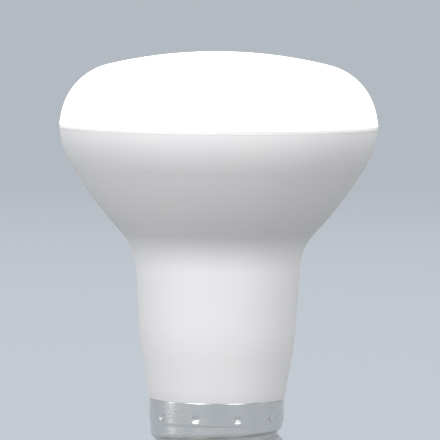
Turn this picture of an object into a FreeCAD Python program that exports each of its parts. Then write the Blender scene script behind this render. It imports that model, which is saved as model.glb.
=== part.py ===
import FreeCAD, Part
import math
import os
import Sketcher

# A reflector bulb with a screw cap: a wide, flared housing of white plastic that narrows to
# a long neck, a shallow diffuser dome on its rim, and a 27 mm screw cap on its neck.
# Millimetres, +Z up. The origin is the flat tip of the contact pin, on the bulb's axis.
# The bulb is sealed, so the housing and the dome are filled where nothing can be seen.

SIZES = {
    # screw cap
    "cap_length": (27.0, "contact tip to the end of the neck"),
    "sheet_thickness": (0.3, "sheet of the screw shell"),
    "skirt_height": (4.4, "plain skirt above the thread"),
    "skirt_step_out": (0.2, "thread's crest out to the skirt"),
    "skirt_step_height": (0.3, "slope from the skirt to the thread"),
    "thread_radius": (13.1, "crest of the rolled thread, outside"),
    "thread_depth": (1.05, "crest to root of the rolled thread"),
    "thread_pitch": (3.629, "rolled thread, crest to crest: a seventh of an inch"),
    "thread_margin": (0.3, "plain wall between the thread's top and the skirt"),
    "crest_flat_depth": (0.01, "flattening of the thread's crests"),
    "run_out_turn": (0.25, "part of a turn over which the thread fades out"),
    "crimp_count": (10, "crimps round the skirt"),
    "crimp_round": (1.0, "ball that punches a crimp"),
    "crimp_depth": (0.35, "depth of a crimp"),
    "crimp_rise": (1.2, "foot of the skirt up to the middle of the crimps"),
    "shell_base_height": (5.4, "contact tip to the underside of the shell"),
    "shell_curl_round": (1.8, "turned-in lower edge of the shell"),
    "shell_hole_inset": (3.1, "thread's crest in to the hole for the insulator"),
    # insulator
    "contact_height": (1.7, "contact tip to the insulator's lower face"),
    "insulator_face_margin": (1.1, "contact cup out to the edge of the insulator's lower face"),
    "insulator_face_round": (0.6, "edge of the lower face"),
    "insulator_lap": (0.9, "hole in the shell out to the top of the insulator's cone"),
    "insulator_flange_height": (2.1, "flange inside the shell"),
    # contact
    "contact_radius": (4.8, "contact cup, outside"),
    "contact_edge_round": (0.8, "edge of the contact cup"),
    "contact_tube_wall": (0.75, "tube of the contact cup"),
    "pin_head_lap": (1.0, "pin's stem out to the edge of its head"),
    "pin_head_height": (0.5, "head of the contact pin"),
    "pin_head_round": (0.35, "edge of the pin's head"),
    "pin_radius": (1.2, "stem of the contact pin"),
    "pin_reach": (2.6, "stem beyond the contact's tube"),
    "pin_point_height": (0.5, "tapered end of the stem"),
    "pin_point_inset": (0.4, "tapered end of the stem"),
    "pin_hole_depth": (0.4, "room left beyond the stem's end"),
    # fits
    "cap_clearance": (0.1, "spigot to the inside of the shell, and flange to the shell"),
    "contact_clearance": (0.05, "pin in its tube, tube in the insulator, insulator in the shell"),
    "dome_clearance": (0.1, "dome's spigot in the housing, round it and under it"),
    # housing
    "housing_height": (53.55, "end of the neck to the rim"),
    "neck_end_inset": (0.07, "skirt's outside in to the end of the neck"),
    "foot_step_out": (0.28, "end of the neck out to the foot of the lower neck"),
    "foot_height": (0.95, "end of the neck to the foot of the lower neck"),
    "neck_radius": (16.4, "top of the neck, where the flare starts"),
    "waist_inset": (0.99, "top of the neck in to the bend at the waist"),
    "waist_share": (0.4007, "height of the bend at the waist, as a share of the neck's"),
    "head_height": (23.85, "top of the neck to the rim"),
    "flare_out_share": (0.5557, "middle of the flare, as a share of the way out to the rim"),
    "flare_up_share": (0.3933, "middle of the flare, as a share of the way up to the rim"),
    "brow_inset": (0.62, "rim in to the brow"),
    "brow_drop": (4.55, "rim down to the brow"),
    "rim_inset": (0.02, "dome's widest point in to the rim"),
    "rim_round": (0.25, "outer edge of the rim"),
    # bends of the housing: where each starts, as a share of the shorter side beside it
    "foot_bend": (0.8124, "bend at the foot"),
    "waist_bend": (0.2461, "bend at the waist"),
    "neck_bend": (0.2979, "hollow between the neck and the flare"),
    "flare_bend": (0.5254, "slow curve of the flare"),
    "brow_bend": (0.7737, "curve of the brow"),
    # diffuser dome
    "dome_radius": (31.5, "widest point, at the dome's lower edge"),
    "dome_height": (14.95, "rim to the top of the dome"),
    "dome_edge_round": (0.55, "lower edge of the dome"),
    "dome_side_draft": (11.4, "side of the dome, degrees from upright"),
    "dome_shoulder_share": (0.816, "radius of the shoulder, as a share of the dome's height"),
    "dome_crown_ratio": (2.952, "radius of the crown, over the dome's widest radius"),
    "dome_spigot_inset": (2.0, "widest point in to the spigot under the dome"),
    "dome_spigot_height": (3.0, "spigot under the dome, inside the rim"),
}

TINY = 1e-9
CUTTER_GAP = 0.1  # between two turns of the thread's cutter, within the flattened crest


class Size:
    """A length or an angle: its number now, and the formula that ties it to the sheet."""

    def __init__(self, number, formula):
        self.number = number
        self.formula = formula

    def joined(self, other, sign, number):
        text = other.formula if isinstance(other, Size) else repr(other)
        return Size(number, f"({self.formula} {sign} {text})")

    def __add__(self, other):
        return self.joined(other, "+", self.number + number_of(other))

    def __sub__(self, other):
        return self.joined(other, "-", self.number - number_of(other))

    def __mul__(self, other):
        return self.joined(other, "*", self.number * number_of(other))

    def __truediv__(self, other):
        return self.joined(other, "/", self.number / number_of(other))

    def __neg__(self):
        return Size(-self.number, f"(-1 * {self.formula})")


def number_of(value):
    return value.number if isinstance(value, Size) else value


def arc_tangent(size):
    """The angle in degrees that has this tangent."""
    return Size(math.degrees(math.atan(size.number)), f"atan({size.formula})")


def root_of(size):
    return Size(math.sqrt(size.number), f"sqrt({size.formula})")


def smaller_of(one, other):
    number = min(one.number, other.number)
    return Size(number, f"min({one.formula}; {other.formula})")


def distance_between(one, other):
    """From one (radius, height) to another."""
    across, up = other[0] - one[0], other[1] - one[1]
    return root_of(across * across + up * up)


class Bend:
    """A rounding that starts at a share of the shorter side beside its corner."""

    def __init__(self, share):
        self.share = share

    def reach(self, before, corner, after):
        sides = distance_between(before, corner), distance_between(corner, after)
        return smaller_of(*sides) * self.share


class Sizes:
    """The sheet's sizes by name."""

    def __init__(self, sheet):
        for name in SIZES:
            setattr(self, name, Size(float(sheet.get(name)), f"{sheet.Name}.{name}"))
        self.zero = Size(0.0, "0")


def make_sheet(doc):
    sheet = doc.addObject("Spreadsheet::Sheet", "Sizes")
    for row, (name, (number, note)) in enumerate(SIZES.items(), start=1):
        sheet.set(f"A{row}", note)
        sheet.set(f"B{row}", str(number))
        sheet.setAlias(f"B{row}", name)
    doc.recompute()
    return sheet


class Outline:
    """A closed outline in a body's upright plane: x is the radius and y the height."""

    def __init__(self, body, name):
        self.sketch = body.newObject("Sketcher::SketchObject", name)
        self.sketch.AttachmentSupport = (origin_part(body, "XZ_Plane"), [""])
        self.sketch.MapMode = "FlatFace"

    def line(self, start, end):
        segment = Part.LineSegment(FreeCAD.Vector(*start, 0), FreeCAD.Vector(*end, 0))
        return self.sketch.addGeometry(segment, False)

    def arc(self, centre, start, end):
        """An arc from start to end, the short way round. Returns its number and its start's."""
        first = math.atan2(start[1] - centre[1], start[0] - centre[0])
        last = math.atan2(end[1] - centre[1], end[0] - centre[0])
        radius = math.hypot(start[0] - centre[0], start[1] - centre[1])
        forwards = (last - first) % (2 * math.pi) < math.pi
        if not forwards:
            first, last = last, first
        circle = Part.Circle(FreeCAD.Vector(*centre, 0), FreeCAD.Vector(0, 0, 1), radius)
        number = self.sketch.addGeometry(Part.ArcOfCircle(circle, first, last), False)
        return number, (1 if forwards else 2)

    def hold(self, *constraint):
        """Adds a constraint. A size at its end is bound to the sheet."""
        size = constraint[-1]
        if isinstance(size, Size):
            angle = constraint[0] == "Angle"
            number = math.radians(size.number) if angle else size.number
            index = self.sketch.addConstraint(Sketcher.Constraint(*constraint[:-1], number))
            self.sketch.setExpression(f"Constraints[{index}]", size.formula)
        else:
            self.sketch.addConstraint(Sketcher.Constraint(*constraint))

    def place(self, geometry, point, radius, height):
        """Holds a point of the outline at a radius and a height."""
        origin, across, upright = (-1, 1), -1, -2
        if abs(radius.number) < TINY:
            self.hold("PointOnObject", geometry, point, upright)
        else:
            self.hold("DistanceX", *origin, geometry, point, radius)
        if abs(height.number) < TINY:
            self.hold("PointOnObject", geometry, point, across)
        else:
            self.hold("DistanceY", *origin, geometry, point, height)

    def corners(self, points):
        """Draws straight sides between corners (radius, height, round), closed at the end.

        A round is None, a radius or a bend.
        """
        spots = [(r.number, z.number) for r, z, _ in points]
        reaches = []
        for i, (_, _, bend) in enumerate(points):
            near = points[i - 1][:2], points[i][:2], points[(i + 1) % len(points)][:2]
            reaches.append(bend.reach(*near) if isinstance(bend, Bend) else None)
        ends = [self.rounded(spots, i, points[i][2], reaches[i]) for i in range(len(points))]
        sides = []
        for i in range(len(points)):
            after = (i + 1) % len(points)
            sides.append(self.line(ends[i][-1], ends[after][0]))
        for i, (radius, height, bend) in enumerate(points):
            before, after = sides[i - 1], sides[i]
            if bend is None:
                self.hold("Coincident", before, 2, after, 1)
                self.place(after, 1, radius, height)
                continue
            start, centre, end = ends[i]
            arc, first = self.arc(centre, start, end)
            self.hold("Tangent", before, 2, arc, first)
            self.hold("Tangent", arc, 3 - first, after, 1)
            corner = self.sketch.addGeometry(Part.Point(FreeCAD.Vector(*spots[i], 0)), True)
            self.hold("PointOnObject", corner, 1, before)
            self.hold("PointOnObject", corner, 1, after)
            self.place(corner, 1, radius, height)
            if reaches[i]:
                self.hold("Distance", corner, 1, before, 2, reaches[i])
            else:
                self.hold("Radius", arc, bend)

    def rounded(self, spots, i, bend, reach):
        """Where a corner's rounding starts, its centre and where it ends, or the corner alone."""
        if bend is None:
            return (spots[i],)
        here = FreeCAD.Vector(*spots[i], 0)
        back = (FreeCAD.Vector(*spots[i - 1], 0) - here).normalize()
        ahead = (FreeCAD.Vector(*spots[(i + 1) % len(spots)], 0) - here).normalize()
        half = back.getAngle(ahead) / 2
        start_at = reach.number if reach else bend.number / math.tan(half)
        middle = (back + ahead).normalize() * (start_at / math.cos(half))
        start, centre, end = here + back * start_at, here + middle, here + ahead * start_at
        return (start.x, start.y), (centre.x, centre.y), (end.x, end.y)

    def knuckle_groove(self, root, root_round, crest_round, half_pitch, clear):
        """Draws a groove: a root arc, a half crest arc each side, and ends clear of the wall."""
        radius, height = root
        middle = (radius.number, height.number)
        reach = root_round.number + crest_round.number
        crest_line = radius.number - math.sqrt(reach ** 2 - half_pitch.number ** 2)
        drop = math.sqrt(crest_round.number ** 2 - (CUTTER_GAP / 2) ** 2)
        crests, joins, ends, outer = [], [], [], []
        for side in (1, -1):
            crest = (crest_line, height.number + side * half_pitch.number)
            share = root_round.number / reach
            crests.append(crest)
            joins.append(tuple(m + (c - m) * share for m, c in zip(middle, crest)))
            ends.append((crest_line + drop, crest[1] - side * CUTTER_GAP / 2))
            outer.append((clear.number, ends[-1][1]))
        bottom, bottom_start = self.arc(middle, joins[0], joins[1])
        self.hold("Radius", bottom, root_round)
        self.place(bottom, 3, radius, height)
        runs = []
        for i, join_point in enumerate((bottom_start, 3 - bottom_start)):
            side = 1 - 2 * i
            crest, start = self.arc(crests[i], joins[i], ends[i])
            run = self.line(ends[i], outer[i])
            self.hold("Tangent", bottom, join_point, crest, start)
            self.hold("Coincident", crest, 3 - start, run, 1)
            self.hold("Horizontal", run)
            self.hold("Radius", crest, crest_round)
            crest_height = height + half_pitch * side
            self.hold("DistanceY", -1, 1, crest, 3, crest_height)
            self.hold("DistanceY", -1, 1, run, 1, crest_height - CUTTER_GAP / 2 * side)
            runs.append(run)
        back = self.line(outer[0], outer[1])
        self.hold("Coincident", runs[0], 2, back, 1)
        self.hold("Coincident", runs[1], 2, back, 2)
        self.hold("Vertical", back)
        self.hold("DistanceX", -1, 1, back, 1, clear)


def origin_part(body, role):
    return next(feature for feature in body.Origin.OriginFeatures if feature.Role == role)


def new_body(doc, label, height=None):
    """An empty body for one piece, standing at its height on the bulb's axis."""
    body = doc.addObject("PartDesign::Body", label)
    body.Label = label
    if height is not None:
        body.setExpression("Placement.Base.z", height.formula)
    return body


def revolve(body, outline):
    turned = body.newObject("PartDesign::Revolution", f"{body.Name}_turned")
    turned.Profile = (outline.sketch, [""])
    turned.ReferenceAxis = (outline.sketch, ["V_Axis"])
    turned.Angle = 360
    body.Tip = turned


def cut_helix(body, outline, name, pitch, height, spread, downwards):
    """Winds the outline right-handed round the axis, on a cone where it has a spread."""
    groove = body.newObject("PartDesign::SubtractiveHelix", f"{body.Name}_{name}")
    groove.Profile = outline.sketch
    groove.ReferenceAxis = (origin_part(body, "Z_Axis"), [""])
    groove.Mode = "pitch-height-angle"
    groove.setExpression("Pitch", pitch.formula)
    groove.setExpression("Height", height.formula)
    groove.setExpression("Angle", spread.formula)
    groove.LeftHanded = False
    groove.Reversed = downwards
    body.Tip = groove


# The shell, its inside and the housing's spigot in it share these radii and heights. Each is
# the shell's outside drawn in by an inset: nothing, the sheet, or the sheet and a clearance.

def crest_radius(s):
    return s.thread_radius - s.crest_flat_depth


def skirt_radius(s):
    return s.thread_radius + s.skirt_step_out


def shell_hole_radius(s):
    return s.thread_radius - s.shell_hole_inset


def skirt_wall(s, neck_end, inset):
    """The corners from the thread's crest up to the skirt."""
    foot = neck_end - s.skirt_height
    return [
        (crest_radius(s) - inset, foot - s.skirt_step_height, None),
        (skirt_radius(s) - inset, foot, None),
    ]


def roll_thread(body, s, neck_end, inset):
    """Cuts the knuckle thread: its root and crest arcs have one radius, and flow into another.

    The groove winds down from its top and out at the cap's lower end, and from its top it
    also winds on upwards, where it fades out over part of a turn.
    """
    knuckle = s.thread_pitch * s.thread_pitch / 4 + s.thread_depth * s.thread_depth
    knuckle = knuckle / (s.thread_depth * 4)
    half_pitch = s.thread_pitch / 2
    top = neck_end - s.skirt_height - s.skirt_step_height - s.thread_margin - half_pitch
    root = (s.thread_radius - s.thread_depth + knuckle, top)
    outline = Outline(body, f"{body.Name}_thread_outline")
    outline.knuckle_groove(root, knuckle + inset, knuckle - inset, half_pitch, s.thread_radius + inset)
    fade = s.thread_pitch * s.run_out_turn
    cut_helix(body, outline, "thread", s.thread_pitch, s.cap_length, s.zero, True)
    cut_helix(body, outline, "run_out", s.thread_pitch, fade, arc_tangent(s.thread_depth / fade), False)


def punch_crimps(body, s, neck_end, inset):
    """Dents the skirt with a ring of balls."""
    ball = body.newObject("PartDesign::SubtractiveSphere", f"{body.Name}_crimp")
    ball.setExpression("Radius", (s.crimp_round + inset).formula)
    reach = skirt_radius(s) + s.crimp_round - s.crimp_depth
    ball.setExpression("Placement.Base.x", reach.formula)
    ball.setExpression("Placement.Base.z", (neck_end - s.skirt_height + s.crimp_rise).formula)
    ring = body.newObject("PartDesign::PolarPattern", f"{body.Name}_crimps")
    ring.Originals = [ball]
    ring.Axis = (origin_part(body, "Z_Axis"), [""])
    ring.Angle = 360
    ring.setExpression("Occurrences", s.crimp_count.formula)
    body.Tip = ring


def housing(doc, s):
    """The moulded housing, from the threaded spigot in the cap to the rim under the dome."""
    body = new_body(doc, "housing", s.cap_length)
    outline = Outline(body, "housing_outline")
    inset = s.sheet_thickness + s.cap_clearance
    spigot_end = s.contact_height + insulator_height(s) - s.cap_length
    hole_end = pin_length(s) + s.pin_hole_depth - s.cap_length
    hole_radius = s.pin_radius + s.contact_clearance
    neck_end = skirt_radius(s) - s.neck_end_inset
    neck_height = s.housing_height - s.head_height
    rim_radius = s.dome_radius - s.rim_inset
    flare_radius = s.neck_radius + (rim_radius - s.neck_radius) * s.flare_out_share
    flare_height = neck_height + s.head_height * s.flare_up_share
    recess_radius = s.dome_radius - s.dome_spigot_inset + s.dome_clearance
    recess_height = s.housing_height - s.dome_spigot_height - s.dome_clearance
    waist = s.neck_radius - s.waist_inset
    outline.corners([
        (s.zero, hole_end, None),
        (hole_radius, hole_end, None),
        (hole_radius, spigot_end, None),
        (crest_radius(s) - inset, spigot_end, None),
        *skirt_wall(s, s.zero, inset),
        (skirt_radius(s) - inset, s.zero, None),
        (neck_end, s.zero, None),
        (neck_end + s.foot_step_out, s.foot_height, Bend(s.foot_bend)),
        (waist, neck_height * s.waist_share, Bend(s.waist_bend)),
        (s.neck_radius, neck_height, Bend(s.neck_bend)),
        (flare_radius, flare_height, Bend(s.flare_bend)),
        (rim_radius - s.brow_inset, s.housing_height - s.brow_drop, Bend(s.brow_bend)),
        (rim_radius, s.housing_height, s.rim_round),
        (recess_radius, s.housing_height, None),
        (recess_radius, recess_height, None),
        (s.zero, recess_height, None),
    ])
    revolve(body, outline)
    roll_thread(body, s, s.zero, inset)
    punch_crimps(body, s, s.zero, inset)
    return body


def diffuser_dome(doc, s):
    """The opal dome: a shallow crown, a round shoulder, a drafted side and a spigot below."""
    body = new_body(doc, "diffuser_dome", s.cap_length + s.housing_height)
    outline = Outline(body, "dome_outline")
    crown_round = s.dome_radius * s.dome_crown_ratio
    shoulder_round = s.dome_height * s.dome_shoulder_share
    spigot_radius = s.dome_radius - s.dome_spigot_inset
    edge_radius = s.dome_radius - s.dome_edge_round
    crown_centre = (0.0, s.dome_height.number - crown_round.number)
    edge_centre = (edge_radius.number, s.dome_edge_round.number)
    draft = math.radians(s.dome_side_draft.number)
    outward = FreeCAD.Vector(math.cos(draft), math.sin(draft), 0)
    upward = FreeCAD.Vector(-math.sin(draft), math.cos(draft), 0)

    # the side rises from the edge until the shoulder, tangent to it, also meets the crown
    side_foot = FreeCAD.Vector(*edge_centre, 0) + outward * s.dome_edge_round.number
    start = side_foot - outward * shoulder_round.number - FreeCAD.Vector(*crown_centre, 0)
    span = crown_round.number - shoulder_round.number
    along = start.dot(upward)
    rise = -along + math.sqrt(along ** 2 - start.dot(start) + span ** 2)
    side_top = side_foot + upward * rise
    shoulder = side_top - outward * shoulder_round.number
    crown_end = (shoulder - FreeCAD.Vector(*crown_centre, 0)).normalize()
    crown_end = crown_end * crown_round.number + FreeCAD.Vector(*crown_centre, 0)

    apex = (0.0, s.dome_height.number)
    edge_end = (edge_radius.number, 0.0)
    spigot_top = (spigot_radius.number, 0.0)
    spigot_low = (spigot_radius.number, -s.dome_spigot_height.number)
    axis_low = (0.0, -s.dome_spigot_height.number)
    crown_end, side_top, side_foot = (tuple(v)[:2] for v in (crown_end, side_top, side_foot))

    crown, crown_start = outline.arc(crown_centre, apex, crown_end)
    bend, bend_start = outline.arc(tuple(shoulder)[:2], crown_end, side_top)
    side = outline.line(side_top, side_foot)
    edge, edge_start = outline.arc(edge_centre, side_foot, edge_end)
    seat = outline.line(edge_end, spigot_top)
    wall = outline.line(spigot_top, spigot_low)
    floor = outline.line(spigot_low, axis_low)
    axis = outline.line(axis_low, apex)

    outline.hold("Tangent", crown, 3 - crown_start, bend, bend_start)
    outline.hold("Tangent", bend, 3 - bend_start, side, 1)
    outline.hold("Tangent", side, 2, edge, edge_start)
    outline.hold("Tangent", edge, 3 - edge_start, seat, 1)
    outline.hold("Coincident", axis, 2, crown, crown_start)
    outline.hold("Coincident", seat, 2, wall, 1)
    outline.hold("Coincident", wall, 2, floor, 1)
    outline.hold("Coincident", floor, 2, axis, 1)
    outline.hold("PointOnObject", crown, 3, -2)
    outline.hold("Radius", crown, crown_round)
    outline.hold("Radius", bend, shoulder_round)
    outline.hold("Radius", edge, s.dome_edge_round)
    outline.hold("DistanceX", -1, 1, edge, 3, edge_radius)
    outline.hold("Angle", side, s.dome_side_draft - 90)
    outline.place(axis, 2, s.zero, s.dome_height)
    outline.place(axis, 1, s.zero, -s.dome_spigot_height)
    outline.place(seat, 2, spigot_radius, s.zero)
    outline.hold("PointOnObject", seat, 1, -1)
    outline.hold("Vertical", wall)
    outline.hold("Horizontal", floor)
    revolve(body, outline)
    return body


def shell_form(doc, s, label, inset, low, top):
    """One side of the shell's sheet as a solid: its outside, or its inside and its hole."""
    body = new_body(doc, label)
    outline = Outline(body, f"{label}_outline")
    neck_end = s.cap_length - s.shell_base_height
    outline.corners([
        (s.zero, low, None),
        (shell_hole_radius(s), low, None),
        (shell_hole_radius(s), inset, None),
        (crest_radius(s) - inset, inset, s.shell_curl_round - inset),
        *skirt_wall(s, neck_end, inset),
        (skirt_radius(s) - inset, top, None),
        (s.zero, top, None),
    ])
    revolve(body, outline)
    roll_thread(body, s, neck_end, inset)
    punch_crimps(body, s, neck_end, inset)
    return body


def screw_shell(doc, s):
    """The drawn and rolled shell of the cap, about as thick all over as its sheet."""
    rim = s.cap_length - s.shell_base_height
    sheet = s.sheet_thickness
    shell = doc.addObject("Part::Cut", "screw_shell")
    shell.Label = "screw_shell"
    shell.Base = shell_form(doc, s, "shell_outside", s.zero, -sheet, rim)
    shell.Tool = shell_form(doc, s, "shell_inside", sheet, -sheet * 2, rim + sheet)
    shell.setExpression("Placement.Base.z", s.shell_base_height.formula)
    return shell


def insulator_height(s):
    return s.shell_base_height + s.sheet_thickness + s.insulator_flange_height - s.contact_height


def insulator(doc, s):
    """The insulator, moulded round the shell's edge: a cone below it and a flange above."""
    body = new_body(doc, "insulator", s.contact_height)
    outline = Outline(body, "insulator_outline")
    bore = contact_tube_radius(s) + s.contact_clearance
    neck = shell_hole_radius(s) - s.contact_clearance
    base = shell_hole_radius(s) + s.insulator_lap
    flange = s.thread_radius - s.shell_curl_round - s.cap_clearance
    shell_low = s.shell_base_height - s.contact_height
    shell_high = shell_low + s.sheet_thickness
    top = insulator_height(s)
    outline.corners([
        (bore, s.zero, None),
        (s.contact_radius + s.insulator_face_margin, s.zero, s.insulator_face_round),
        (base, shell_low, None),
        (neck, shell_low, None),
        (neck, shell_high, None),
        (flange, shell_high, None),
        (flange, top, None),
        (bore, top, None),
    ])
    revolve(body, outline)
    return body


def contact_tube_radius(s):
    return s.pin_radius + s.contact_clearance + s.contact_tube_wall


def centre_contact(doc, s):
    """The contact cup: a round-edged disc under the insulator with a tube up through it."""
    body = new_body(doc, "centre_contact", s.pin_head_height)
    outline = Outline(body, "contact_outline")
    bore = s.pin_radius + s.contact_clearance
    disc = s.contact_height - s.pin_head_height
    tube_end = disc + insulator_height(s)
    outline.corners([
        (bore, s.zero, None),
        (s.contact_radius, s.zero, s.contact_edge_round),
        (s.contact_radius, disc, None),
        (contact_tube_radius(s), disc, None),
        (contact_tube_radius(s), tube_end, None),
        (bore, tube_end, None),
    ])
    revolve(body, outline)
    return body


def pin_length(s):
    return s.contact_height + insulator_height(s) + s.pin_reach


def contact_pin(doc, s):
    """The pin pressed up the contact's tube, with its flat head as the bulb's lowest point."""
    body = new_body(doc, "contact_pin")
    outline = Outline(body, "pin_outline")
    head = s.pin_radius + s.pin_head_lap
    outline.corners([
        (s.zero, s.zero, None),
        (head, s.zero, s.pin_head_round),
        (head, s.pin_head_height, None),
        (s.pin_radius, s.pin_head_height, None),
        (s.pin_radius, pin_length(s) - s.pin_point_height, None),
        (s.pin_radius - s.pin_point_inset, pin_length(s), None),
        (s.zero, pin_length(s), None),
    ])
    revolve(body, outline)
    return body


def check(doc, pieces):
    """Stops before anything is written if an object failed or a piece isn't one sound solid."""
    for item in doc.Objects:
        if "Invalid" in item.State or "Error" in item.State:
            raise RuntimeError(f"{item.Name} failed: {item.State}")
    for piece in pieces:
        shape = piece.Shape
        if shape.isNull() or not shape.isValid() or len(shape.Solids) != 1:
            raise RuntimeError(f"{piece.Label} is not one sound solid")


def main():
    doc = FreeCAD.newDocument("reflector_bulb")
    sizes = Sizes(make_sheet(doc))
    makers = (diffuser_dome, housing, screw_shell, insulator, centre_contact, contact_pin)
    pieces = [make(doc, sizes) for make in makers]
    doc.recompute()
    check(doc, pieces)
    os.makedirs("parts", exist_ok=True)
    for piece in pieces:
        piece.Shape.exportStep(f"parts/{piece.Label}.step")


main()
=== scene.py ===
import math

import bpy
from bpy.props import FloatProperty, FloatVectorProperty, IntProperty, PointerProperty
from mathutils import Matrix, Vector


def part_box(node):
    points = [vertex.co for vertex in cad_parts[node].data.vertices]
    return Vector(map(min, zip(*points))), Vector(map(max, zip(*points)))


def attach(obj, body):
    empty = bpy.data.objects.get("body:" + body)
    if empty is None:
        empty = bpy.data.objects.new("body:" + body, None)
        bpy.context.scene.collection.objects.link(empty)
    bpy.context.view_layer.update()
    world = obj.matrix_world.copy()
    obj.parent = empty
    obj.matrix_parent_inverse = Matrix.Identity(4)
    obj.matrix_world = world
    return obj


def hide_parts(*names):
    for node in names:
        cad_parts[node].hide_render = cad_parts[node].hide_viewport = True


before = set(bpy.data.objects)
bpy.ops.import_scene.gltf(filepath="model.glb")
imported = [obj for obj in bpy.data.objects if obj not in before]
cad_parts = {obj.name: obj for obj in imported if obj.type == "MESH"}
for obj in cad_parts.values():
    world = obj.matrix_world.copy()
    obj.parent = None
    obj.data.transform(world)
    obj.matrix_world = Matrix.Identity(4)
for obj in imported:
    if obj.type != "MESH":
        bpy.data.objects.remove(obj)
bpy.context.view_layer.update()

bl_info = {
    "name": "Reflector bulb",
    "version": (1, 0, 0),
    "blender": (4, 5, 0),
    "location": "3D View > Sidebar > Bulb",
    "description": "Finishes a lit reflector bulb and rolls its screw cap's thread",
    "category": "Object",
}

MM = 0.001
SHELL_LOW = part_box("screw_shell")[0].z
SHELL_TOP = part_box("screw_shell")[1].z
SHELL_HEIGHT = SHELL_TOP - SHELL_LOW
SKIRT_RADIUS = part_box("screw_shell")[1].x
SEAM_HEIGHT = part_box("housing")[1].z

BLACK, WHITE = (0.0, 0.0, 0.0), (1.0, 1.0, 1.0)

# The small round edges below and above the seam: the housing's rim and the dome's lower edge.
# Low and High are the sines of the slopes between which the normal stays: a lean is the slope
# of the housing's flare or the dome's side there. Reach is how far from the seam this holds
RIM_ROUND, DOME_ROUND = 0.25 * MM, 0.55 * MM
RIM_LEAN, DOME_LEAN = 0.135, 0.198
RIM_EDGE = {
    "Round": RIM_ROUND, "Middle": SEAM_HEIGHT - RIM_ROUND,
    "Low": -RIM_LEAN, "High": 1.0, "Reach": 1.03 * MM,
}
DOME_EDGE = {
    "Round": DOME_ROUND, "Middle": SEAM_HEIGHT + DOME_ROUND,
    "Low": -1.0, "High": DOME_LEAN, "Reach": 1.77 * MM,
}
EDGE_BLEND = 1.6  # times the reach: from there on the mesh's own normal is used

# The shell's mesh
RUN_OUT_TURN = 0.25  # of a turn, over which the top groove of the thread runs out
OUT_OF_REACH = 1.0  # metres: a groove or a crimp so far out touches nothing
NUDGE = 1e-5  # of a turn, so that the last column of points falls on the first
MERGE_DISTANCE = 1e-6
FEWEST_FACES = 1000  # with fewer, the tree has made nothing

# The stage, in metres, and the camera's sensor in millimetres
SQUARE, STRIP = (1.0, 1.0), (0.2, 1.2)
LAMPS = (  # name, its power among the settings, width and height, degrees round and up
    ("left_light", "left_power", SQUARE, -35, 30),
    ("right_light", "right_power", SQUARE, 35, 30),
    ("left_strip", "left_strip_power", STRIP, -85, 4),
    ("right_strip", "right_strip_power", STRIP, 85, 4),
    ("back_light", "back_power", SQUARE, 180, 30),
)
LAMP_DISTANCE = 1.7
FLOOR_RINGS, FLOOR_STEPS = (0.3, 1.0, 3.0, 12.0), 128
SENSOR_WIDTH = 36.0
NEAREST_SEEN, FARTHEST_SEEN = 0.01, 50.0


# Settings

def length(name, description, default):
    return FloatProperty(
        name=name, description=description, default=default, min=0, unit="LENGTH", precision=6
    )


def share(name, description, default):
    return FloatProperty(
        name=name, description=description, default=default, min=0, max=1, subtype="FACTOR"
    )


def colour(name, description, default):
    return FloatVectorProperty(
        name=name, description=description, default=default, min=0, max=1, subtype="COLOR", size=3
    )


def power(name, description, default):
    return FloatProperty(name=name, description=description, default=default, min=0, unit="POWER")


def strength(name, description, default):
    return FloatProperty(name=name, description=description, default=default, min=0)


def angle(name, description, degrees):
    return FloatProperty(
        name=name, description=description, default=math.radians(degrees), subtype="ANGLE"
    )


def count(name, description, default, least):
    return IntProperty(name=name, description=description, default=default, min=least)


class PlasticFinish(bpy.types.PropertyGroup):
    """The housing's and the insulator's plastics."""

    housing_colour: colour(
        "Housing colour", "Cool white of the moulded housing", (0.80, 0.80, 0.81)
    )
    housing_roughness: share("Housing roughness", "Satin of the housing", 0.5)
    housing_grain: length("Housing grain", "Size of the housing's fine moulded grain", 0.35 * MM)
    # painted glow: the housing's rim, which is no lamp, is given light of its own
    rim_glow: share("Rim glow", "Light of the dome that shines through the housing's rim", 0.055)
    rim_glow_height: length(
        "Rim glow height", "How far below the seam the rim's glow reaches", 4.5 * MM
    )
    # painted shade: how much darker the rounded rim at the seam is painted
    rim_dust: share(
        "Rim shade", "How much darker the housing's rounded rim is, as painted shade", 0.13
    )
    rim_round: length("Rim round", "Height of the housing's rounded rim", 0.45 * MM)
    insulator_colour: colour("Insulator colour", "Black of the insulator", (0.018, 0.018, 0.02))
    insulator_roughness: share("Insulator roughness", "Gloss of the insulator", 0.22)


class DomeFinish(bpy.types.PropertyGroup):
    """The lit opal dome."""

    colour: colour("Dome colour", "Opal plastic", (0.93, 0.93, 0.92))
    glow_colour: colour("Glow colour", "Colour of the light", WHITE)
    glow_strength: strength("Glow strength", "Strength of the light in the dome", 1.1)
    roughness: share("Dome roughness", "Satin of the opal plastic", 0.35)
    edge_glow: share("Edge glow", "Share of the dome's light that is left at its lower edge", 0.28)
    edge_fade: length(
        "Edge fade", "Height above the seam over which the light grows to its full strength",
        3.0 * MM,
    )


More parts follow.
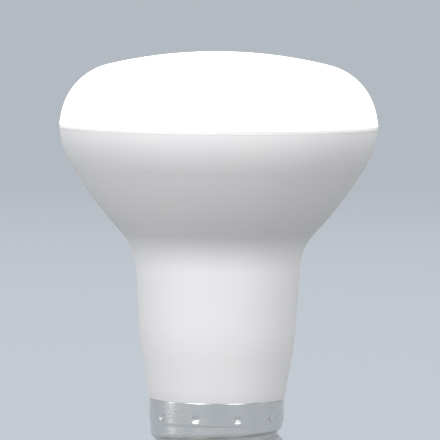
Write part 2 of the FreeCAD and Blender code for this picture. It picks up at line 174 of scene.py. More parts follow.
class ShellSizes(bpy.types.PropertyGroup):
    """The rolled screw shell and its thread."""

    thread_radius: length("Thread radius", "Crest of the thread, outside", 13.1 * MM)
    thread_depth: length("Thread depth", "Crest to root of the thread", 1.05 * MM)
    thread_pitch: length("Thread pitch", "Crest to crest along the axis", 3.629 * MM)
    thread_margin: length("Thread margin", "Plain wall between the thread and the skirt", 0.3 * MM)
    skirt_height: length("Skirt height", "Plain skirt above the thread", 4.4 * MM)
    skirt_step: length("Skirt step", "Slope from the skirt to the thread", 0.3 * MM)
    sheet: length("Sheet", "Thickness of the sheet", 0.3 * MM)
    curl: length("Curl", "Round of the turned-in lower edge", 1.8 * MM)
    hole_radius: length("Hole radius", "Hole for the insulator", 10.0 * MM)
    crimp_count: count("Crimps", "Crimps round the skirt", 10, least=1)
    crimp_round: length("Crimp round", "Ball that punches a crimp", 1.0 * MM)
    crimp_depth: length("Crimp depth", "Depth of a crimp", 0.35 * MM)
    crimp_height: length("Crimp height", "Middle of the crimps below the shell's rim", 3.2 * MM)
    segments: count("Segments", "Steps round the axis", 360, least=24)
    row: length("Row", "Step along the section of the outside", 0.16 * MM)


class MetalFinish(bpy.types.PropertyGroup):
    """The plated metals of the cap."""

    shell_colour: colour("Sheet colour", "Bright plated sheet of the cap", (0.66, 0.655, 0.64))
    shell_roughness: share("Sheet roughness", "Burnish of the rolled sheet", 0.26)
    contact_colour: colour("Contact colour", "Plated brass of the contact cup", (0.74, 0.70, 0.62))
    pin_colour: colour("Pin colour", "Plated pin in the contact", (0.78, 0.77, 0.75))
    contact_roughness: share("Contact roughness", "Burnish of the contact", 0.2)


class StageSetup(bpy.types.PropertyGroup):
    """Floor, light and camera."""

    floor_colour: colour("Floor colour", "Pale floor, as it is seen", (0.53, 0.57, 0.62))
    floor_bounce: share("Floor bounce", "How much light the floor sends back up", 0.235)
    floor_shade: share("Floor shade", "Share of the floor's paleness that shadows take away", 0.58)
    floor_glow: share("Floor glow", "Share of the floor's paleness that shadows leave", 0.36)
    far_glow: share(
        "Far glow", "Share of its paleness that the far floor shows, and the room", 0.87
    )
    near_floor: length("Near floor", "Out to where the floor shows all shadows", 0.3)
    far_floor: length("Far floor", "From where the floor shows no shadows", 1.5)
    left_power: power("Left light", "Softbox left of the camera", 15.1)
    right_power: power("Right light", "Softbox right of the camera", 10.8)
    left_strip_power: power("Left strip", "Narrow lamp on the left", 3.6)
    right_strip_power: power("Right strip", "Narrow lamp on the right", 0.4)
    back_power: power("Back light", "Softbox behind the bulb", 9.0)
    sky_strength: strength("Sky strength", "Even light from all round", 0.65)
    distance: length("Camera distance", "Camera to the bulb's axis", 1.05)
    aim_height: length("Aim height", "Height on the axis at the picture's middle", 62.23 * MM)
    aim_side: FloatProperty(
        name="Aim side", description="How far right of the axis the camera aims",
        default=0.38 * MM, unit="LENGTH", precision=6,
    )
    field: length("Field", "Width of the picture at the bulb", 86.95 * MM)
    elevation: angle("Elevation", "How far the camera looks down", 3.2)
    roll: angle("Roll", "Tilt of the picture", 0.42)


# Node trees

# The Mix node names its sockets alike for each kind; these are the places of A, B and the result
MIX_SOCKETS = {"VECTOR": (4, 5, 1), "RGBA": (6, 7, 2)}


class Tree:
    """Adds nodes to a node tree, and joins them, in few words."""

    def __init__(self, tree):
        self.tree = tree

    def node(self, kind, inputs=None, **settings):
        made = self.tree.nodes.new(kind)
        for name, value in settings.items():
            setattr(made, name, value)
        for name, value in (inputs or {}).items():
            self.feed(made.inputs[name], value)
        return made

    def feed(self, socket, value):
        """Links the value if it is a socket, and sets it otherwise. None changes nothing."""
        if isinstance(value, bpy.types.NodeSocket):
            self.tree.links.new(value, socket)
        elif value is not None:
            socket.default_value = value

    def math(self, operation, a, b=None, c=None):
        return self.node("ShaderNodeMath", {0: a, 1: b, 2: c}, operation=operation).outputs[0]

    def distance(self, vector):
        return self.node("ShaderNodeVectorMath", {0: vector}, operation="LENGTH").outputs["Value"]

    def direction(self, vector):
        return self.node("ShaderNodeVectorMath", {0: vector}, operation="NORMALIZE").outputs[0]

    def split(self, vector):
        return self.node("ShaderNodeSeparateXYZ", {0: vector}).outputs

    def combine(self, x, y, z=None):
        return self.node("ShaderNodeCombineXYZ", {"X": x, "Y": y, "Z": z}).outputs[0]

    def remap(self, value, low, high, start=0.0, end=1.0, smooth=False):
        """The value between low and high, spread over start to end and held there."""
        inputs = {"Value": value, "From Min": low, "From Max": high, "To Min": start, "To Max": end}
        kind = "SMOOTHSTEP" if smooth else "LINEAR"
        return self.node("ShaderNodeMapRange", inputs, interpolation_type=kind).outputs[0]

    def noise(self, vector, size, detail=2.0, roughness=0.5):
        """Noise whose patches have about the given size."""
        linked = isinstance(size, bpy.types.NodeSocket)
        scale = self.math("DIVIDE", 1.0, size) if linked else 1.0 / size
        inputs = {"Vector": vector, "Scale": scale, "Detail": detail, "Roughness": roughness}
        return self.node("ShaderNodeTexNoise", inputs).outputs["Fac"]

    def mix(self, kind, part, a, b):
        """From a, where part is 0, to b, where it is 1."""
        first, second, result = MIX_SOCKETS[kind]
        made = self.node("ShaderNodeMix", {0: part, first: a, second: b}, data_type=kind)
        return made.outputs[result]

    def mix_colour(self, part, a, b):
        pair = (c if isinstance(c, bpy.types.NodeSocket) else (*c, 1.0) for c in (a, b))
        return self.mix("RGBA", part, *pair)


def new_group(name, kind, inputs, outputs):
    """An empty node group with named sockets: (tree maker, group input, group output)."""
    group = bpy.data.node_groups.new(name, kind)
    for socket_name, socket_type, default in inputs:
        socket = group.interface.new_socket(socket_name, in_out="INPUT", socket_type=socket_type)
        if default is not None:
            socket.default_value = default
    for socket_name, socket_type in outputs:
        group.interface.new_socket(socket_name, in_out="OUTPUT", socket_type=socket_type)
    maker = Tree(group)
    return maker, maker.node("NodeGroupInput"), maker.node("NodeGroupOutput")


# Effects that materials share

def moulded_grain():
    """Fine grain that a mould leaves in plastic, and a slow mottle of its flow."""
    maker, given, result = new_group(
        "moulded_grain", "ShaderNodeTree",
        [("Vector", "NodeSocketVector", None), ("Grain", "NodeSocketFloat", 0.35 * MM),
         ("Flow", "NodeSocketFloat", 12 * MM)],
        [("Height", "NodeSocketFloat"), ("Mottle", "NodeSocketFloat")],
    )
    vector, grain, flow = (given.outputs[name] for name in ("Vector", "Grain", "Flow"))
    slow = maker.noise(vector, flow)
    maker.feed(result.inputs["Height"], maker.noise(vector, grain, detail=3.0, roughness=0.6))
    maker.feed(result.inputs["Mottle"], maker.remap(slow, 0.3, 0.7))
    return maker.tree


def round_axis(maker, vector):
    """A place's height, its vector straight out from the axis, and the direction of that."""
    place = maker.split(vector)
    out = maker.combine(place["X"], place["Y"])
    return place["Z"], out, maker.split(maker.direction(out))


def round_marks():
    """Streaks that run round the bulb's axis, as rolling and turning leave them."""
    maker, given, result = new_group(
        "round_marks", "ShaderNodeTree",
        [("Vector", "NodeSocketVector", None), ("Pitch", "NodeSocketFloat", 0.25 * MM),
         ("Length", "NodeSocketFloat", 0.6)],
        [("Height", "NodeSocketFloat"), ("Streak", "NodeSocketFloat"),
         ("Radius", "NodeSocketFloat")],
    )
    m = maker.math
    height, out, spoke = round_axis(maker, given.outputs["Vector"])
    radius = maker.distance(out)
    along = m("DIVIDE", 1.0, given.outputs["Length"])
    across = m("DIVIDE", m("ADD", radius, height), given.outputs["Pitch"])
    wrapped = maker.combine(
        m("MULTIPLY", spoke["X"], along), m("MULTIPLY", spoke["Y"], along), across
    )
    streak = maker.noise(wrapped, 1.0, detail=3.0, roughness=0.55)
    maker.feed(result.inputs["Height"], streak)
    maker.feed(result.inputs["Streak"], maker.remap(streak, 0.3, 0.7))
    maker.feed(result.inputs["Radius"], radius)
    return maker.tree


def handling():
    """Faint patches where hands have dulled a surface."""
    maker, given, result = new_group(
        "handling", "ShaderNodeTree",
        [("Vector", "NodeSocketVector", None), ("Size", "NodeSocketFloat", 7 * MM)],
        [("Mask", "NodeSocketFloat")],
    )
    patches = maker.noise(given.outputs["Vector"], given.outputs["Size"], detail=4.0, roughness=0.6)
    maker.feed(result.inputs["Mask"], maker.remap(patches, 0.45, 0.72))
    return maker.tree


def true_edge():
    """The exact normal of a round edge that runs round the axis, and of the side next to it."""
    maker, given, result = new_group(
        "true_edge", "ShaderNodeTree",
        [("Vector", "NodeSocketVector", None), ("Round", "NodeSocketFloat", 0.25 * MM),
         ("Middle", "NodeSocketFloat", 0.0), ("Low", "NodeSocketFloat", -1.0),
         ("High", "NodeSocketFloat", 1.0), ("Reach", "NodeSocketFloat", 1.0 * MM)],
        [("Normal", "NodeSocketVector")],
    )
    size, m = given.outputs, maker.math
    height, _, spoke = round_axis(maker, size["Vector"])
    rise = m("DIVIDE", m("SUBTRACT", height, size["Middle"]), size["Round"])
    rise = m("MINIMUM", m("MAXIMUM", rise, size["Low"]), size["High"])
    run = m("SQRT", m("SUBTRACT", 1.0, m("MULTIPLY", rise, rise)))
    exact = maker.combine(m("MULTIPLY", spoke["X"], run), m("MULTIPLY", spoke["Y"], run), rise)
    turned = maker.node(
        "ShaderNodeVectorTransform", {0: exact},
        vector_type="NORMAL", convert_from="OBJECT", convert_to="WORLD",
    ).outputs[0]
    away = m("ABSOLUTE", m("SUBTRACT", height, SEAM_HEIGHT))
    near = maker.remap(away, size["Reach"], m("MULTIPLY", size["Reach"], EDGE_BLEND), 1.0, 0.0)
    of_mesh = maker.node("ShaderNodeNewGeometry").outputs["Normal"]
    maker.feed(result.inputs["Normal"], maker.direction(maker.mix("VECTOR", near, of_mesh, turned)))
    return maker.tree


def place_effect(maker, effect, **inputs):
    """Places a shared effect's group, built once, with this material's values: its outputs."""
    group = bpy.data.node_groups.get(effect.__name__) or effect()
    return maker.node("ShaderNodeGroup", inputs, node_tree=group).outputs


# Materials

def new_material(name, values):
    """A material with a principled surface: (it, tree maker, shader, object coordinates)."""
    material = bpy.data.materials.new(name)
    material.use_nodes = True
    maker = Tree(material.node_tree)
    surface = next(n for n in material.node_tree.nodes if n.type == "BSDF_PRINCIPLED")
    for socket, value in values.items():
        surface.inputs[socket].default_value = value
    return material, maker, surface, maker.node("ShaderNodeTexCoord").outputs["Object"]


def scaled(base, by):
    """A colour times one factor, or times a factor for each channel."""
    factors = by if isinstance(by, tuple) else (by,) * len(base)
    return tuple(min(1.0, c * k) for c, k in zip(base, factors))


def rougher(maker, mask, low, more):
    """Roughness from low, where the mask is 0, to so much more, where it is 1."""
    return maker.remap(mask, 0.0, 1.0, low, low + more)


def bump(maker, surface, height, distance, normal=None):
    """Relief of a height map, on the mesh's own normal or on the one given."""
    made = maker.node("ShaderNodeBump", {"Height": height, "Distance": distance, "Normal": normal})
    maker.feed(surface.inputs["Normal"], made.outputs["Normal"])


def white_plastic(finish):
    """Cool white satin plastic with a very fine grain, painted shade on its rim and a faint painted
    glow there.
    """
    material, maker, surface, spot = new_material("white_plastic", {"IOR": 1.5})
    grain = place_effect(
        maker, moulded_grain, Vector=spot, Grain=finish.housing_grain, Flow=14 * MM
    )
    touched = place_effect(maker, handling, Vector=spot, Size=9 * MM)
    base = tuple(finish.housing_colour)
    mottled = maker.mix_colour(grain["Mottle"], base, scaled(base, (0.975, 0.978, 0.985)))
    height = maker.split(spot)["Z"]
    # painted shade: the housing's rounded rim just below the seam is darkened towards the seam
    shade_low = SEAM_HEIGHT - finish.rim_round
    shade_full = shade_low + finish.rim_round * 0.4
    rim_painted_shade = maker.remap(height, shade_low, shade_full, 0.0, finish.rim_dust, smooth=True)
    maker.feed(surface.inputs["Base Color"], maker.mix_colour(rim_painted_shade, mottled, BLACK))
    maker.feed(surface.inputs["Roughness"], rougher(
        maker, touched["Mask"], finish.housing_roughness, more=0.06
    ))
    # painted glow: emission on the housing that grows towards the seam, standing for the dome's
    # light shining through the rim
    surface.inputs["Emission Color"].default_value = (*WHITE, 1.0)
    glow_low = SEAM_HEIGHT - finish.rim_glow_height
    maker.feed(surface.inputs["Emission Strength"], maker.remap(
        height, glow_low, SEAM_HEIGHT, 0.0, finish.rim_glow, smooth=True
    ))
    edge = place_effect(maker, true_edge, Vector=spot, **RIM_EDGE)
    bump(maker, surface, grain["Height"], distance=0.006 * MM, normal=edge["Normal"])
    return material


def opal_plastic(finish):
    """Opal plastic, lit from inside, less so at its lower edge."""
    material, maker, surface, spot = new_material("opal_plastic", {"IOR": 1.49})
    grain = place_effect(maker, moulded_grain, Vector=spot, Grain=0.5 * MM, Flow=16 * MM)
    base, glow = tuple(finish.colour), tuple(finish.glow_colour)
    maker.feed(surface.inputs["Base Color"], maker.mix_colour(
        grain["Mottle"], base, scaled(base, 0.985)
    ))
    maker.feed(surface.inputs["Emission Color"], maker.mix_colour(
        grain["Mottle"], glow, scaled(glow, (0.985, 0.985, 0.98))
    ))
    height, full_height = maker.split(spot)["Z"], SEAM_HEIGHT + finish.edge_fade
    lit = maker.remap(height, SEAM_HEIGHT, full_height, finish.edge_glow, 1.0, smooth=True)
    maker.feed(
        surface.inputs["Emission Strength"], maker.math("MULTIPLY", lit, finish.glow_strength)
    )
    maker.feed(surface.inputs["Roughness"], rougher(
        maker, grain["Mottle"], finish.roughness, more=0.04
    ))
    edge = place_effect(maker, true_edge, Vector=spot, **DOME_EDGE)
    bump(maker, surface, grain["Height"], distance=0.004 * MM, normal=edge["Normal"])
    return material


def rolled_sheet(finish, sizes):
    """Plated sheet with rolling marks, brighter where the thread's crests are rubbed."""
    material, maker, surface, spot = new_material("rolled_sheet", {"Metallic": 1.0})
    marks = place_effect(maker, round_marks, Vector=spot, Pitch=0.22 * MM, Length=0.5)
    touched = place_effect(maker, handling, Vector=spot, Size=5 * MM)
    base = tuple(finish.shell_colour)
    rub_low, rub_full = sizes.thread_radius - 0.3 * MM, sizes.thread_radius - 0.02 * MM
    rubbed = maker.remap(marks["Radius"], rub_low, rub_full)
    streaked = maker.mix_colour(marks["Streak"], base, scaled(base, 0.86))
    stain = maker.math("MULTIPLY", touched["Mask"], 0.5)
    stained = maker.mix_colour(stain, streaked, scaled(base, (0.80, 0.78, 0.74)))
    shine = maker.math("MULTIPLY", rubbed, 0.7)
    maker.feed(surface.inputs["Base Color"], maker.mix_colour(shine, stained, scaled(base, 1.12)))
    rough = rougher(maker, marks["Streak"], finish.shell_roughness, more=0.1)
    rough = maker.math("MULTIPLY_ADD", touched["Mask"], 0.12, rough)
    maker.feed(surface.inputs["Roughness"], maker.math("MULTIPLY_ADD", rubbed, -0.07, rough))
    bump(maker, surface, marks["Height"], distance=0.008 * MM)
    return material


def black_plastic(finish):
    """Glossy black insulator with a faint haze."""
    material, maker, surface, spot = new_material("black_plastic", {"IOR": 1.52})
    grain = place_effect(maker, moulded_grain, Vector=spot, Grain=0.3 * MM, Flow=5 * MM)
    touched = place_effect(maker, handling, Vector=spot, Size=4 * MM)
    base = tuple(finish.insulator_colour)
    maker.feed(surface.inputs["Base Color"], maker.mix_colour(
        grain["Mottle"], base, scaled(base, 1.5)
    ))
    maker.feed(surface.inputs["Roughness"], rougher(
        maker, touched["Mask"], finish.insulator_roughness, more=0.14
    ))
    bump(maker, surface, grain["Height"], distance=0.004 * MM)
    return material


def turned_metal(name, base, roughness, pitch):
    """Plated metal with faint marks round its axis and a worn sheen."""
    material, maker, surface, spot = new_material(name, {"Metallic": 1.0})
    marks = place_effect(maker, round_marks, Vector=spot, Pitch=pitch, Length=0.7)
    touched = place_effect(maker, handling, Vector=spot, Size=2.5 * MM)
    wear = maker.math("MULTIPLY", touched["Mask"], 0.7)
    maker.feed(surface.inputs["Base Color"], maker.mix_colour(
        wear, base, scaled(base, (0.86, 0.82, 0.74))
    ))
    rough = rougher(maker, marks["Streak"], roughness, more=0.1)
    maker.feed(surface.inputs["Roughness"], maker.math("MULTIPLY_ADD", touched["Mask"], 0.1, rough))
    bump(maker, surface, marks["Height"], distance=0.006 * MM)
    return material


def seen_rays(maker):
    """1 for rays from the camera, from a mirror or from glass: they show the room's paleness."""
    path = maker.node("ShaderNodeLightPath").outputs
    seen = maker.math("MAXIMUM", path["Is Camera Ray"], path["Is Glossy Ray"])
    return maker.math("MAXIMUM", seen, path["Is Transmission Ray"])


def floor_finish(setup):
    """Pale matte floor with the bulb's shadow. Far from the bulb it shows one even paleness."""
    material, maker, surface, spot = new_material(
        "pale_floor", {"Roughness": 0.9, "Specular IOR Level": 0.0}
    )
    pale = tuple(setup.floor_colour)
    seen = seen_rays(maker)
    radius, reach = maker.distance(spot), (setup.near_floor, setup.far_floor)
    shade = maker.remap(radius, *reach, setup.floor_shade, 0.0, smooth=True)
    glow = maker.remap(radius, *reach, setup.floor_glow, setup.far_glow, smooth=True)
    painted = maker.mix_colour(maker.noise(spot, 1.25), pale, scaled(pale, 0.985))
    shaded = maker.mix_colour(shade, BLACK, painted)
    bounce = (setup.floor_bounce,) * 3
    maker.feed(surface.inputs["Base Color"], maker.mix_colour(seen, bounce, shaded))
    maker.feed(surface.inputs["Emission Color"], painted)
    maker.feed(surface.inputs["Emission Strength"], maker.math("MULTIPLY", seen, glow))
    return material


def dress(node, material):
    """Gives a piece of the packed model its finish."""
    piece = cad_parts[node]
    if not piece.material_slots:
        piece.data.materials.append(None)
    for place in piece.material_slots:
        place.link = "OBJECT"
        place.material = material


# The rolled shell

def divided(points, step):
    """The same line with a point at least every step."""
    line = [points[0]]
    for end in points[1:]:
        start = line[-1]
        parts = max(1, math.ceil(math.dist(start, end) / step))
        for i in range(1, parts + 1):
            line.append(tuple(a + (b - a) * i / parts for a, b in zip(start, end)))
    return line


def shell_section(sizes):
    """The blank sheet's section as a loop of (radius, height, inset from the outside)."""
    sheet = sizes.sheet
    blank = sizes.thread_radius - 0.01 * MM  # a little less, so that the crests end flat
    foot = SHELL_HEIGHT - sizes.skirt_height
    lip = sheet * 0.35  # round of the rim's two edges
    corner = lip * 0.3  # from their square corner to the middle of the round

    def wall(inset):
        curl = sizes.curl - inset
        out, up = blank - inset - curl, inset + curl
        turns = [math.radians(a) for a in range(-90, 1, 10)]
        return [
            (sizes.hole_radius, inset),
            *((out + curl * math.cos(a), up + curl * math.sin(a)) for a in turns),
            (blank - inset, foot - sizes.skirt_step),
            (SKIRT_RADIUS - inset, foot),
            (SKIRT_RADIUS - inset, SHELL_HEIGHT - lip),
        ]

    outside = [(r, z, 0.0) for r, z in divided(wall(0.0), sizes.row)]
    inside = [(r, z, sheet) for r, z in divided(wall(sheet), sizes.row * 2)]
    rim = [
        (SKIRT_RADIUS - corner, SHELL_HEIGHT - corner, 0.0),
        (SKIRT_RADIUS - lip, SHELL_HEIGHT, 0.0),
        (SKIRT_RADIUS - sheet + lip, SHELL_HEIGHT, sheet),
        (SKIRT_RADIUS - sheet + corner, SHELL_HEIGHT - corner, sheet),
    ]
    return outside + rim + inside[::-1]


def arc(m, radius, square_along):
    """How far a circle stands off its middle line, for the square of the way along that line."""
    return m("SQRT", m("MAXIMUM", m("SUBTRACT", m("MULTIPLY", radius, radius), square_along), 0.0))


def thread_line(m, size, height, turn, inset):
    """How far out the thread lets the sheet stand."""
    pitch, depth = size["Pitch"], size["Thread Depth"]
    half_pitch = m("MULTIPLY", pitch, 0.5)
    wound = m("SUBTRACT", m("DIVIDE", m("SUBTRACT", height, size["Thread Top"]), pitch), turn)
    groove = m("FLOOR", m("ADD", wound, 0.5))  # the nearest one: 0 is the top one
    off = m("MULTIPLY", m("ABSOLUTE", m("SUBTRACT", wound, groove)), pitch)
    crest_off = m("SUBTRACT", half_pitch, off)

    # root and crest are arcs of one radius that flow into each other
    knuckle = m("DIVIDE", m(
        "MULTIPLY_ADD", m("MULTIPLY", pitch, pitch), 0.25, m("MULTIPLY", depth, depth)
    ), m("MULTIPLY", depth, 4.0))
    hollow, ridge = m("ADD", knuckle, inset), m("SUBTRACT", knuckle, inset)
    join = m("MULTIPLY", m("DIVIDE", hollow, m("MULTIPLY", knuckle, 2.0)), half_pitch)
    root_middle = m("ADD", m("SUBTRACT", size["Thread Radius"], depth), knuckle)
    crest_middle = m("SUBTRACT", size["Thread Radius"], knuckle)
    root = m("SUBTRACT", root_middle, arc(m, hollow, m("MULTIPLY", off, off)))
    crest = m("ADD", crest_middle, arc(m, ridge, m("MULTIPLY", crest_off, crest_off)))
    at_crest = m("GREATER_THAN", off, join)
    line = m("ADD", root, m("MULTIPLY", at_crest, m("SUBTRACT", crest, root)))

    # the top groove runs out, and there is none above it
    is_top_or_above = m("GREATER_THAN", groove, -0.5)
    run_out = m("MULTIPLY", m("MULTIPLY", turn, 1.0 / RUN_OUT_TURN), depth)
    none_here = m("MULTIPLY", m("GREATER_THAN", groove, 0.5), OUT_OF_REACH)
    return m("ADD", m("ADD", line, m("MULTIPLY", is_top_or_above, run_out)), none_here)


def crimp_line(m, size, height, turn, inset, blank):
    """How far out the crimps let the sheet stand. Each is the print of a ball."""
    sector = m("MULTIPLY", turn, size["Crimps"])
    across = m("SUBTRACT", m("FRACT", m("ADD", sector, 0.5)), 0.5)
    away = m("MULTIPLY", m("DIVIDE", across, size["Crimps"]), 2 * math.pi)
    side = m("MULTIPLY", m("SINE", away), blank)
    rise = m("SUBTRACT", height, size["Crimp Height"])
    square = m("MULTIPLY_ADD", side, side, m("MULTIPLY", rise, rise))
    ball = m("ADD", size["Crimp Round"], inset)
    middle = m("SUBTRACT", m("ADD", size["Skirt Radius"], size["Crimp Round"]), size["Crimp Depth"])
    inside_ball = m("GREATER_THAN", m("MULTIPLY", ball, ball), square)
    none_here = m("MULTIPLY", m("SUBTRACT", 1.0, inside_ball), OUT_OF_REACH)
    return m("ADD", m("SUBTRACT", middle, arc(m, ball, square)), none_here)


def rolled_shell_tree():
    """Turns a section round the axis, rolls a right-hand knuckle thread and punches crimps."""
    lengths = ("Thread Radius", "Thread Depth", "Pitch", "Thread Top", "Skirt Radius",
               "Crimp Round", "Crimp Depth", "Crimp Height")
    maker, given, result = new_group(
        "rolled_shell", "GeometryNodeTree",
        [("Section", "NodeSocketGeometry", None), ("Material", "NodeSocketMaterial", None),
         ("Segments", "NodeSocketInt", 360), ("Crimps", "NodeSocketInt", 10)]
        + [(name, "NodeSocketFloat", MM) for name in lengths],
        [("Shell mesh", "NodeSocketGeometry")],
    )
    size, m = given.outputs, maker.math

    # a grid with a column of points for each step round the axis. Each column is the section
    # with its first point once more, and the last column lies on the first
    rows = maker.node(
        "GeometryNodeAttributeDomainSize", {"Geometry": size["Section"]}, component="MESH"
    ).outputs["Point Count"]
    column_rows = m("ADD", rows, 1.0)
    grid = maker.node("GeometryNodeMeshGrid", {
        "Size X": 1.0, "Size Y": 1.0,
        "Vertices X": m("ADD", size["Segments"], 1.0), "Vertices Y": column_rows,
    }).outputs["Mesh"]
    index = maker.node("GeometryNodeInputIndex").outputs[0]
    column = m("FLOOR", m("DIVIDE", m("ADD", index, 0.5), column_rows))
    row = m("MODULO", m("SUBTRACT", index, m("MULTIPLY", column, column_rows)), rows)
    turn = m("FRACT", m("ADD", m("DIVIDE", column, size["Segments"]), NUDGE))

    def sampled(data_type, value):
        made = maker.node("GeometryNodeSampleIndex", {"Geometry": size["Section"], "Index": row},
                          data_type=data_type, domain="POINT")
        maker.feed(made.inputs["Value"], value)
        return made.outputs["Value"]

    place = maker.split(sampled("FLOAT_VECTOR", maker.node("GeometryNodeInputPosition").outputs[0]))
    inset = sampled("FLOAT", maker.node(
        "GeometryNodeInputNamedAttribute", {"Name": "inset"}, data_type="FLOAT"
    ).outputs["Attribute"])
    blank, height = place["X"], place["Z"]

    rolled = m("MINIMUM", blank, thread_line(m, size, height, turn, inset))
    rolled = m("MINIMUM", rolled, crimp_line(m, size, height, turn, inset, blank))
    full = m("MULTIPLY", turn, 2 * math.pi)
    position = maker.combine(
        m("MULTIPLY", rolled, m("COSINE", full)), m("MULTIPLY", rolled, m("SINE", full)),
        m("ADD", height, SHELL_LOW),
    )
    steps = (
        ("GeometryNodeSetPosition", {"Position": position}),
        ("GeometryNodeMergeByDistance", {"Distance": MERGE_DISTANCE}),
        ("GeometryNodeSetShadeSmooth", {"Shade Smooth": True}),
        ("GeometryNodeRealizeInstances", {}),
        ("GeometryNodeSetMaterial", {"Material": size["Material"]}),
    )
    made = grid
    for kind, inputs in steps:
        made = maker.node(kind, {"Geometry": made, **inputs}).outputs[0]
    maker.feed(result.inputs["Shell mesh"], made)
    return maker.tree


def plain_copy(carrier, name):
    """The modifier's result as a plain mesh on a new object, and the carrier removed."""
    bpy.context.view_layer.update()
    graph = bpy.context.evaluated_depsgraph_get()
    mesh = bpy.data.meshes.new_from_object(carrier.evaluated_get(graph), depsgraph=graph)
    mesh.name = name
    carrier.modifiers.clear()
    bpy.data.objects.remove(carrier)
    piece = bpy.data.objects.new(name, mesh)
    bpy.context.scene.collection.objects.link(piece)
    return piece


# The pieces

class BULB_OT_housing(bpy.types.Operator):
    """Finish the white housing"""

    bl_idname = "bulb.housing"
    bl_label = "Finish housing"

    def execute(self, context):
        dress("housing", white_plastic(context.scene.bulb_plastic))
        return {"FINISHED"}


class BULB_OT_dome(bpy.types.Operator):
    """Finish the opal dome and light it"""

    bl_idname = "bulb.dome"
    bl_label = "Light dome"

    def execute(self, context):
        dress("diffuser_dome", opal_plastic(context.scene.bulb_dome))
        return {"FINISHED"}


class BULB_OT_shell(bpy.types.Operator):
    """Roll the thread and punch the crimps of the screw cap's sheet"""

    bl_idname = "bulb.shell"
    bl_label = "Roll screw shell"

    def execute(self, context):
        sizes = context.scene.bulb_shell
        points = shell_section(sizes)
        section = bpy.data.meshes.new("shell_section")
        section.from_pydata([(r, 0.0, z) for r, z, _ in points], [], [])
        inset = section.attributes.new("inset", "FLOAT", "POINT")
        inset.data.foreach_set("value", [i for _, _, i in points])
        carrier = bpy.data.objects.new("shell_section", section)
        context.scene.collection.objects.link(carrier)
        tree = rolled_shell_tree()
        modifier = carrier.modifiers.new("rolled_shell", "NODES")
        modifier.node_group = tree
        thread_top = (SHELL_HEIGHT - sizes.skirt_height - sizes.skirt_step - sizes.thread_margin
                      - sizes.thread_pitch / 2)
        values = {
            "Material": rolled_sheet(context.scene.bulb_metal, sizes),
            "Segments": sizes.segments,
            "Crimps": sizes.crimp_count,
            "Thread Radius": sizes.thread_radius,
            "Thread Depth": sizes.thread_depth,
            "Pitch": sizes.thread_pitch,
            "Thread Top": thread_top,
            "Skirt Radius": SKIRT_RADIUS,
            "Crimp Round": sizes.crimp_round,
            "Crimp Depth": sizes.crimp_depth,
            "Crimp Height": SHELL_HEIGHT - sizes.crimp_height,
        }
        for item in tree.interface.items_tree:
            if item.item_type == "SOCKET" and item.in_out == "INPUT" and item.name in values:
                modifier[item.identifier] = values[item.name]
        shell = plain_copy(carrier, "rolled_shell")
        if len(shell.data.polygons) < FEWEST_FACES:
            raise RuntimeError("the rolled shell has no surface")
        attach(shell, "root")
        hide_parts("screw_shell")
        return {"FINISHED"}


class BULB_OT_insulator(bpy.types.Operator):
    """Finish the black insulator"""

    bl_idname = "bulb.insulator"
    bl_label = "Finish insulator"

    def execute(self, context):
        dress("insulator", black_plastic(context.scene.bulb_plastic))
        return {"FINISHED"}


class BULB_OT_contact(bpy.types.Operator):
    """Finish the contact cup and its pin"""

    bl_idname = "bulb.contact"
    bl_label = "Finish contact"

    def execute(self, context):
        finish = context.scene.bulb_metal
        rough, pin_rough = finish.contact_roughness, finish.contact_roughness + 0.05
        cup = turned_metal("plated_cup", tuple(finish.contact_colour), rough, pitch=0.3 * MM)
        pin = turned_metal("plated_pin", tuple(finish.pin_colour), pin_rough, pitch=0.2 * MM)
        dress("centre_contact", cup)
        dress("contact_pin", pin)
        return {"FINISHED"}


# The stage

def outward(azimuth, elevation):
    """The direction from the bulb at two angles: round from the front, and up."""
    return Vector((
        math.sin(azimuth) * math.cos(elevation),
        -math.cos(azimuth) * math.cos(elevation),
        math.sin(elevation),
    ))


def facing(aim, away, distance):
    """The place so far away from the aim, turned to look back at it."""
    turned = away.to_track_quat("Z", "Y").to_matrix().to_4x4()
    return Matrix.Translation(aim + away * distance) @ turned


def softbox(name, watts, size, azimuth, elevation, aim):
    """A soft rectangular lamp that faces the bulb."""
    light = bpy.data.lights.new(name, "AREA")
    light.shape, light.energy = "RECTANGLE", watts
    light.size, light.size_y = size
    lamp = bpy.data.objects.new(name, light)
    bpy.context.scene.collection.objects.link(lamp)
    away = outward(math.radians(azimuth), math.radians(elevation))
    lamp.matrix_world = facing(aim, away, LAMP_DISTANCE)


def lay_floor(setup):
    """A wide round floor, so that any side shows the same paleness."""
    mesh = bpy.data.meshes.new("floor")
    steps = FLOOR_STEPS
    turns = [2 * math.pi * i / steps for i in range(steps)]
    points = [(r * math.cos(a), r * math.sin(a), 0.0) for r in FLOOR_RINGS for a in turns]
    middle = len(points)
    faces = [(middle, i, (i + 1) % steps) for i in range(steps)]
    for low in range(0, middle - steps, steps):
        faces += [
            (low + i, low + steps + i, low + steps + (i + 1) % steps, low + (i + 1) % steps)
            for i in range(steps)
        ]
    mesh.from_pydata(points + [(0.0, 0.0, 0.0)], [], faces)
    floor = bpy.data.objects.new("floor", mesh)
    bpy.context.scene.collection.objects.link(floor)
    mesh.materials.append(floor_finish(setup))


def light_world(setup):
    """Even light from all round. The eye, mirrors and glass see the floor's paleness."""
    world = bpy.data.worlds.new("pale_room")
    bpy.context.scene.world = world
    world.use_nodes = True
    maker = Tree(world.node_tree)
    sky = next(n for n in world.node_tree.nodes if n.type == "BACKGROUND")
    sky.inputs["Color"].default_value = (*WHITE, 1.0)
    sky.inputs["Strength"].default_value = setup.sky_strength
    shown = maker.node(
        "ShaderNodeBackground", {"Color": (*setup.floor_colour, 1.0), "Strength": setup.far_glow}
    )
    mixed = maker.node(
        "ShaderNodeMixShader", {0: seen_rays(maker), 1: sky.outputs[0], 2: shown.outputs[0]}
    )
    output = next(n for n in world.node_tree.nodes if n.type == "OUTPUT_WORLD")
    maker.feed(output.inputs["Surface"], mixed.outputs[0])


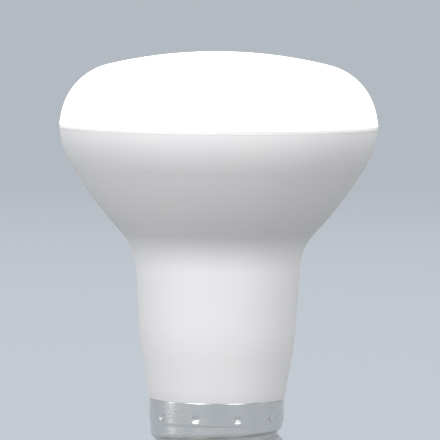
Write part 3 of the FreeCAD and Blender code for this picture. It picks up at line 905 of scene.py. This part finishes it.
def place_camera(setup, aim):
    """The camera at the photograph's angle, and its field at the bulb."""
    lens = bpy.data.cameras.new("camera")
    lens.sensor_width = SENSOR_WIDTH
    lens.lens = SENSOR_WIDTH * setup.distance / setup.field
    lens.clip_start, lens.clip_end = NEAREST_SEEN, FARTHEST_SEEN
    camera = bpy.data.objects.new("camera", lens)
    bpy.context.scene.collection.objects.link(camera)
    beside = aim + Vector((setup.aim_side, 0.0, 0.0))
    camera.matrix_world = (facing(beside, outward(0.0, setup.elevation), setup.distance)
                           @ Matrix.Rotation(setup.roll, 4, "Z"))
    bpy.context.scene.camera = camera


class BULB_OT_stage(bpy.types.Operator):
    """Lay the pale floor, and set the lights and the camera"""

    bl_idname = "bulb.stage"
    bl_label = "Set stage"

    def execute(self, context):
        setup = context.scene.bulb_stage
        context.scene.view_settings.view_transform = "Standard"
        lay_floor(setup)
        light_world(setup)
        aim = Vector((0.0, 0.0, setup.aim_height))
        for name, watts, size, azimuth, elevation in LAMPS:
            softbox(name, getattr(setup, watts), size, azimuth, elevation, aim)
        place_camera(setup, aim)
        return {"FINISHED"}


# The sidebar

class BULB_PT_panel(bpy.types.Panel):
    """Lists the bulb's pieces and settings"""

    bl_idname = "BULB_PT_panel"
    bl_label = "Reflector bulb"
    bl_space_type = "VIEW_3D"
    bl_region_type = "UI"
    bl_category = "Bulb"

    def draw(self, context):
        for operator in OPERATORS:
            self.layout.operator(operator.bl_idname)
        for name, group in SETTINGS.items():
            box = self.layout.box()
            box.label(text=group.__doc__)
            for setting in group.__annotations__:
                box.prop(getattr(context.scene, name), setting)


SETTINGS = {
    "bulb_plastic": PlasticFinish,
    "bulb_dome": DomeFinish,
    "bulb_shell": ShellSizes,
    "bulb_metal": MetalFinish,
    "bulb_stage": StageSetup,
}
OPERATORS = (
    BULB_OT_housing, BULB_OT_dome, BULB_OT_shell, BULB_OT_insulator, BULB_OT_contact,
    BULB_OT_stage,
)
CLASSES = (*SETTINGS.values(), *OPERATORS, BULB_PT_panel)


def register():
    for cls in CLASSES:
        bpy.utils.register_class(cls)
    for name, group in SETTINGS.items():
        setattr(bpy.types.Scene, name, PointerProperty(type=group))


def unregister():
    for name in SETTINGS:
        delattr(bpy.types.Scene, name)
    for cls in reversed(CLASSES):
        bpy.utils.unregister_class(cls)


def main():
    register()
    bpy.ops.bulb.housing()
    bpy.ops.bulb.dome()
    bpy.ops.bulb.shell()
    bpy.ops.bulb.insulator()
    bpy.ops.bulb.contact()
    bpy.ops.bulb.stage()


if __name__ == "__main__":
    main()
